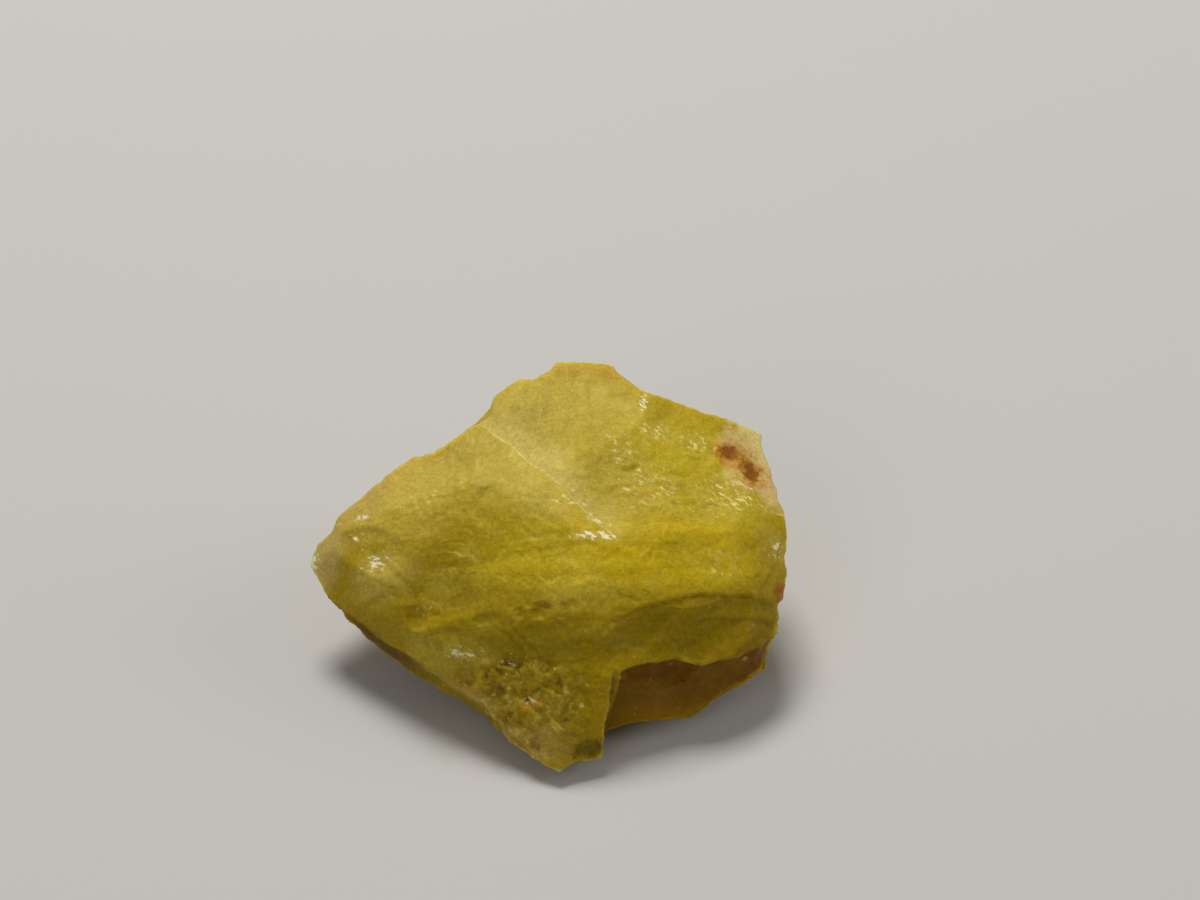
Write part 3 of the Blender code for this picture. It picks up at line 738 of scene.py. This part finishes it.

# Painted glints: pale specks that stand in for light flashing off small flakes, drawn like
# bruises: middle, reach, strength and colour
WHITE = (0.98, 0.92, 0.62)
YELLOW = (0.95, 0.84, 0.34)
GOLD = (0.92, 0.50, 0.03)
PAINTED_GLINTS = (
    ((1.45, -0.86, 5.26), (0.9, 0.17, 0.17), 1.0, WHITE),
    ((0.9, 0.5, 5.65), (0.8, 0.5, 0.3), 0.8, YELLOW),
    ((1.5, -0.1, 5.45), (0.5, 0.4, 0.3), 0.9, WHITE),
    ((2.78, 4.15, 6.33), (0.14, 0.5, 0.2), 1.2, WHITE),
    ((-5.1, -0.16, 3.77), (0.4, 0.3, 0.3), 1.1, WHITE),
    ((-5.9, 0.7, 3.9), (0.5, 0.3, 0.3), 0.5, WHITE),
    ((-7.0, 0.7, 2.9), (0.3, 0.3, 0.3), 1.2, WHITE),
    ((-2.3, -2.9, 2.6), (1.0, 0.3, 0.2), 0.75, WHITE),
    ((-1.1, -3.2, 2.6), (0.25, 0.2, 0.2), 0.8, WHITE),
    ((-0.42, -4.1, 1.82), (0.45, 0.26, 0.2), 0.9, GOLD),
    ((-0.5, -4.06, 1.9), (0.26, 0.12, 0.1), 1.1, WHITE),
    ((0.1, -4.6, 1.4), (0.5, 0.3, 0.3), 0.35, WHITE),
    ((3.2, 1.1, 5.6), (1.6, 0.9, 0.5), 0.65, YELLOW),
    ((2.0, 2.2, 6.0), (0.6, 0.9, 0.4), 0.6, YELLOW),
    ((3.2, 3.2, 6.0), (0.5, 0.4, 0.4), 0.9, YELLOW),
    ((4.5, 3.2, 5.7), (0.7, 0.4, 0.5), 0.9, YELLOW),
    ((5.4, 1.6, 4.8), (1.1, 0.7, 0.6), 0.75, YELLOW),
    ((4.3, 0.6, 5.0), (1.6, 0.4, 0.4), 0.4, YELLOW),
    ((5.0, -0.9, 4.2), (1.4, 0.5, 0.4), 0.5, YELLOW),
    ((-3.4, 1.3, 5.0), (0.6, 0.25, 0.2), 0.5, YELLOW),
    ((-5.6, 1.2, 4.2), (0.35, 0.2, 0.2), 0.9, WHITE),
    ((6.7, 0.2, 3.9), (0.4, 0.4, 0.4), 0.7, WHITE),
)


# Colours that are mixed into the stone, beside its tints
WINE_YELLOW = (0.42, 0.285, 0.004, 1)
MILKY = (0.66, 0.52, 0.08, 1)
GREEN_DEPTH = (0.17, 0.13, 0.003, 1)
BACK_MILKY = (0.64, 0.50, 0.10, 1)
BACK_DEPTH = (0.27, 0.18, 0.003, 1)
VEIL = (0.70, 0.56, 0.12, 1)
# The hollow's olive: its own greener tone, made darker as painted shade over the hollow
HOLLOW_OLIVE_SHADE = (0.25, 0.16, 0.001, 1)
FOOT_BROWN = (0.20, 0.085, 0.001, 1)
FOOT_RUST = (0.17, 0.045, 0.001, 1)
# Painted glow: the gold that light shining through the foot's thin lower edge gives it
PAINTED_FOOT_GLOW = (0.38, 0.18, 0.002, 1)
# Brown of the band under the left end, made darker as painted shade of a face that looks down
UNDER_BROWN_SHADE = (0.13, 0.062, 0.002, 1)
# A deeper yellow: painted shade below the front's wavy lower edge, where the face turns down
LOWER_FRONT_SHADE = (0.30, 0.21, 0.003, 1)
# The strip above the ridge: its own paler tone, with painted light where it faces up
PALE_STRIP = (0.66, 0.51, 0.13, 1)
HEALED = (0.74, 0.63, 0.24, 1)
SPUR_WHITE = (0.68, 0.52, 0.10, 1)
SPUR_BROWN = (0.16, 0.08, 0.003, 1)
# Painted sheen around the painted glints
GLINT_HAZE = (0.68, 0.56, 0.16, 1)
CHALKY_EDGE = (0.66, 0.54, 0.2, 1)
# Painted shade for the hollows of the surface
CREVICE_SHADE = (0.10, 0.06, 0.004, 1)
# Painted highlight: the paler colour of the mirror-flat flakes
FLECK_HIGHLIGHT = (0.88, 0.74, 0.28, 1)


def clouded(n):
    """The stone's yellow with each region's tint, then milky clouds, greener depths and fine
    pale veils. The back and the underside are cloudier."""
    colour = WINE_YELLOW
    for middle, reach, tint, share, soft, wobble, span in TINTS:
        colour = n.mix(n.zone(middle, reach, soft, wobble, span) * share, colour, (*tint, 1))
    cloud = n.noise(1.4, 5.0, 0.6, twist=0.6)
    colour = n.mix(n.ramp(cloud, 0.5, 0.75) * 0.35, colour, MILKY)
    colour = n.mix(n.ramp(cloud, 0.48, 0.25) * 0.35, colour, GREEN_DEPTH)
    unseen = n.attribute("unseen")
    wide = n.noise(2.6, 5.0, 0.6, twist=0.8)
    colour = n.mix(n.ramp(wide, 0.5, 0.68) * unseen * 0.7, colour, BACK_MILKY)
    colour = n.mix(n.ramp(wide, 0.46, 0.3) * unseen * 0.6, colour, BACK_DEPTH)
    veil = n.noise(0.5, 6.0, 0.7, twist=1.2)
    return n.mix(n.ramp(veil, 0.55, 0.75) * 0.3, colour, VEIL)


def with_front(n, colour):
    """The parts of the front: the olive hollow and its ledge, darkened in part with painted shade,
    the rusty foot with a painted golden glow along its lower edge, the brown band under the left
    end, darkened in part with painted shade, painted shade over the stretch below the front's
    wavy lower edge, and the paler strip above the ridge, lit in part with painted light."""
    across, inwards, height = n.along((1, 0, 0)), n.along((0, 1, 0)), n.along((0, 0, 1))
    up_front = n.along(UP_FRONT)
    waver = (n.noise(1.1, 5.0, 0.65) - 0.5) * 1.3

    # The hollow and its ledge turn olive: partly their own tone, partly painted shade
    hollow = n.attribute("hollow") * 0.36 + n.attribute("ledge") * 0.14
    colour = n.mix(hollow, colour, HOLLOW_OLIVE_SHADE)

    below = n.ramp(height + waver, 2.65, 2.3) * n.ramp(across, 1.5, 1.75)
    foot = (below * n.ramp(inwards, -0.9, -1.5) * 0.35).at_least(n.attribute("foot"))
    rust = n.ramp(n.noise(0.9, 5.0, 0.65), 0.42, 0.6) * n.ramp(up_front, -1.3, -0.7)
    colour = n.mix(foot * 0.88, colour, n.mix(rust, FOOT_BROWN, FOOT_RUST))
    # Painted glow of light through the foot's thin lower edge, gold towards its bottom
    glow = n.attribute("foot") * n.ramp(up_front + waver * 0.2, -0.9, -1.5)
    colour = n.mix(glow * 0.6, colour, PAINTED_FOOT_GLOW)

    # The band under the left end: its own brown, darkened as painted shade where the face looks down
    under = n.ramp(n.along((0.2, 0, 1)) + waver * 0.3, 1.12, 0.9) * n.ramp(across, -2.6, -4.6)
    under = under * n.ramp(inwards, 0.9, 0.4)
    colour = n.mix(under * 0.95, colour, UNDER_BROWN_SHADE)

    # Painted shade below the front's wavy lower edge, where the face turns away from the light
    colour = n.mix(n.attribute("lower") * 0.45, colour, LOWER_FRONT_SHADE)
    # The strip above the ridge is paler: in part its own tone, in part painted light as it faces up
    strip = n.attribute("strip") * n.ramp(across, 1.5, -1.0)
    return n.mix(strip * 0.3, colour, PALE_STRIP)


def with_cracks(n, colour):
    """Healed cracks: broken pale lines, the first at the step across the top, with cloudier
    stone behind each."""
    for way, start, middle, reach, pale in CRACKS:
        across = n.along(way, start) + (n.noise(0.8, 4.0, 0.6) - 0.5) * 0.34
        crossed = n.zone(middle, reach, 0.3)
        broken = n.ramp(n.noise(0.35, 3.0, 0.6), 0.4, 0.55)
        line = n.ramp(across, -0.06, -0.02) * n.ramp(across, 0.06, 0.02)
        line = line * (0.45 + 0.55 * broken)
        cloudy = n.ramp(across, -0.05, 0.05) * n.ramp(across, 1.4, 0.2)
        colour = n.mix((line * 0.9).at_least(cloudy * 0.3) * crossed * pale, colour, HEALED)
    return colour


def with_bands(n, colour):
    """Growth bands, long and thin, run level over the front and rise a little to the right."""
    length = n.along((0.98, 0.17, -0.1)) * 0.1
    banded = n.add("ShaderNodeCombineXYZ", inputs={
        "X": length, "Y": n.along((-0.1, 0.84, 0.53)), "Z": 0.0})
    bands = n.ramp(n.noise(0.8, 3.0, 0.5, place=banded, twist=0.2), 0.38, 0.62, 0.86, 1.13)
    front = n.zone((0.8, -1.7, 3.9), (6.6, 2.0, 2.2), 0.6)
    front = front * (1 - 0.6 * n.attribute("hollow"))
    return n.vector("SCALE", colour, scale=1 + (bands - 1) * front)


def with_spur_and_glints(n, colour):
    """The spur is mottled with bruised white spots and brown pockets. At each listed place,
    clusters of bright specks, longer than they are wide, are painted glints in a faint painted sheen."""
    spur = n.zone((-0.9, -4.1, 1.7), (2.0, 1.6, 1.5), 0.5)
    mottle = n.noise(0.45, 6.0, 0.75)
    colour = n.mix(spur * n.ramp(mottle, 0.53, 0.62) * 0.75, colour, SPUR_WHITE)
    colour = n.mix(spur * n.ramp(mottle, 0.45, 0.36) * 0.75, colour, SPUR_BROWN)

    turned = n.add("ShaderNodeCombineXYZ", inputs={
        "X": n.along((0.86, -0.5, 0.1)) * 0.42, "Y": n.along((0.5, 0.86, 0.0)), "Z": n.along((0, 0, 1))})
    speck = n.noise(0.14, 4.0, 0.65, place=turned)
    # A faint painted sheen around each painted glint
    haze = n.ramp(n.noise(0.4, 4.0, 0.6), 0.35, 0.6)
    for middle, reach, strength, tint in PAINTED_GLINTS:
        there = n.zone(middle, reach, 1.0, 0.5, 0.3) * strength
        colour = n.mix((there * haze * 0.25).at_most(0.4), colour, GLINT_HAZE)
        # Painted glints: bright specks in the colour
        bright = (n.ramp(speck + 0.12 * there, 0.63, 0.68) * there).at_most(0.97)
        colour = n.mix(bright, colour, (*tint, 1))
    return colour


def with_grain(n, colour):
    """Edges scatter white, and painted shade darkens the hollows. A sugary grain, finer than the
    shapes, lies over all, and painted shade makes the sides a little darker than what looks up."""
    stands = n.attribute("stands")
    colour = n.mix(n.ramp(stands, 0.02, 0.1) * 0.25, colour, CHALKY_EDGE)
    # Painted shade: the hollows of the surface are darkened
    colour = n.mix(n.ramp(stands, -0.02, -0.1) * 0.3, colour, CREVICE_SHADE)
    sugar = n.noise(0.12, 4.0, 0.7) * 0.5 + n.noise(0.045, 3.0, 0.7) * 0.5
    # Painted shade: what faces sideways is darker than what looks up
    upward = n.ramp(n.attribute("upward"), 0.55, 0.97, 0.92, 1.02)
    return n.vector("SCALE", colour, scale=n.ramp(sugar, 0.3, 0.7, 0.74, 1.26) * upward)


def rhodizite():
    """Cloudy yellow stone: light sinks in and spreads, and its broken skin is half glossy."""
    n = Nodes("rhodizite_yellow")
    colour = clouded(n)
    for step in (with_front, with_cracks, with_bands, with_spur_and_glints, with_grain):
        colour = step(n, colour)

    # A waxy skin, in which a few small flakes lie as flat as mirrors. Their colour is made paler,
    # a painted highlight on top of the light that they really reflect
    busy = n.zone((4.0, 1.6, 5.4), (2.6, 1.8, 1.1))
    busy = busy.at_least(n.zone((-0.8, -4.0, 1.8), (2.2, 1.8, 1.5)) * 0.4)
    busy = busy.at_least(n.zone((-5.3, 0.1, 3.9), (1.1, 0.8, 0.8)))
    busy = busy.at_least(n.attribute("unseen") * n.ramp(n.noise(1.7), 0.5, 0.6))
    shiny, lean = n.glints(0.18, 0.994 - busy * 0.04)
    fine_shiny, fine_lean = n.glints(0.09, 0.993 - busy * 0.03)
    any_shiny = shiny.at_least(fine_shiny)
    glassy = n.ramp(n.noise(1.3, 4.0, 0.6), 0.5, 0.65)
    waxy = n.ramp(n.noise(0.35, 5.0, 0.65), 0.3, 0.7, 0.42, 0.6)
    n.fill(n.shader.inputs["Base Color"], n.mix(any_shiny * 0.4, colour, FLECK_HIGHLIGHT))
    n.fill(n.shader.inputs["Roughness"], waxy * (1 - 0.65 * any_shiny) * (1 - 0.35 * glassy))
    n.shader.inputs["IOR"].default_value = 1.6
    n.shader.inputs["Specular IOR Level"].default_value = 0.25
    n.shader.inputs["Specular Tint"].default_value = (1.0, 0.86, 0.25, 1)
    n.shader.inputs["Subsurface Weight"].default_value = 0.7
    n.shader.inputs["Subsurface Radius"].default_value = (1.0, 0.75, 0.15)
    n.shader.inputs["Subsurface Scale"].default_value = 1 * MM

    grain = n.noise(0.16, 5.0, 0.65) * 0.5 + n.noise(0.05, 3.0, 0.6) * 0.2
    bump = n.add("ShaderNodeBump", inputs={"Strength": 0.7, "Distance": 0.06 * MM, "Height": grain},
                 output="Normal")
    leaning = n.vector("ADD", n.vector("ADD", bump, lean), fine_lean)
    n.fill(n.shader.inputs["Normal"], n.vector("NORMALIZE", leaning))
    return n.material


def floor_material():
    """Matt pale paper, very slightly uneven in shade."""
    n = Nodes("pale_floor")
    shade = n.noise(30.0, 3.0, 0.5)
    n.fill(n.shader.inputs["Base Color"], n.mix(shade * 0.15, (0.62, 0.61, 0.59, 1), (0.56, 0.55, 0.53, 1)))
    n.shader.inputs["Roughness"].default_value = 0.75
    return n.material


def crystal():
    """The stone, in the place of its solid."""
    places, quads, marks = crystal_surface()
    piece = surface_piece("rhodizite_crystal_surface", places, quads, **marks)
    piece.data.materials.append(rhodizite())
    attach(piece, "root")
    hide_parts("rhodizite_crystal")


def floor():
    """A sheet of paper that lies level, curves up a quarter of a circle far behind the stone,
    and goes on straight up. Lengths here are in metres."""
    bend_at, radius = 0.35, 0.35
    upright_at = bend_at + radius
    across = np.linspace(-0.6, 0.6, 25)
    along = np.linspace(-0.4, 1.2, 161)
    bend = np.clip((along - bend_at) / radius, 0, None)
    curve = radius * (1 - np.sqrt(np.clip(1 - bend**2, 0, 1)))
    height = np.where(bend < 1, curve, radius + (along - upright_at) * 2)
    x, y = np.meshgrid(across, np.minimum(along, upright_at), indexing="ij")
    z = np.broadcast_to(height, x.shape)
    places = np.stack([x, y, z], axis=2).reshape(-1, 3)
    rows = np.arange(len(across) * len(along)).reshape(len(across), len(along))
    quads = np.stack([rows[:-1, :-1], rows[1:, :-1], rows[1:, 1:], rows[:-1, 1:]], axis=2).reshape(-1, 4)
    made = surface_piece("floor", places / MM, quads)
    made.data.materials.append(floor_material())


def lamp(name, at, towards, size, power, colour):
    """A square soft lamp that faces a point."""
    light = bpy.data.lights.new(name, "AREA")
    light.size = size
    light.energy = power
    light.color = colour
    made = bpy.data.objects.new(name, light)
    made.location = at
    made.rotation_mode = "QUATERNION"
    made.rotation_quaternion = (Vector(towards) - Vector(at)).to_track_quat("-Z", "Y")
    bpy.context.scene.collection.objects.link(made)


def lights():
    """Three soft lamps and a faint even light from all round."""
    stone = (0, 0, 0.003)
    lamp("key_lamp", (-0.03, 0.13, 0.25), stone, 0.10, 0.55, (1.0, 0.98, 0.94))
    lamp("side_lamp", (0.22, 0.02, 0.12), stone, 0.12, 0.09, (1.0, 0.99, 0.97))
    lamp("front_lamp", (-0.14, -0.22, 0.16), stone, 0.16, 0.12, (1.0, 0.99, 0.97))
    world = bpy.data.worlds.new("studio")
    world.use_nodes = True
    background = world.node_tree.nodes["Background"]
    background.inputs["Color"].default_value = (1.0, 0.98, 0.94, 1)
    background.inputs["Strength"].default_value = 0.16
    bpy.context.scene.world = world


def camera():
    """The photograph's view: level sideways, looking down at 36.7 degrees, close up."""
    pitch = math.radians(36.7)
    ahead = Vector((0, math.cos(pitch), -math.sin(pitch)))
    up = Vector((0, math.sin(pitch), math.cos(pitch)))
    right = Vector((1, 0, 0))
    image_width, pixels_per_mm = 1200, 34
    lens, sensor = 60, 36
    # The middle of the image lies 50 pixels right of the stone's middle and 115 above it
    stone = Vector((0.0, 0.17, 3.3))
    middle = stone + (right * 50 + up * 115) / pixels_per_mm
    away = image_width / pixels_per_mm * lens / sensor
    data = bpy.data.cameras.new("camera")
    data.lens = lens
    data.sensor_width = sensor
    data.clip_start = 0.001
    made = bpy.data.objects.new("camera", data)
    made.location = (middle - ahead * away) * MM
    made.rotation_mode = "QUATERNION"
    made.rotation_quaternion = ahead.to_track_quat("-Z", "Y")
    bpy.context.scene.collection.objects.link(made)
    bpy.context.scene.camera = made


crystal()
floor()
lights()
camera()
# Colours show as they are mixed
bpy.context.scene.view_settings.view_transform = "Standard"
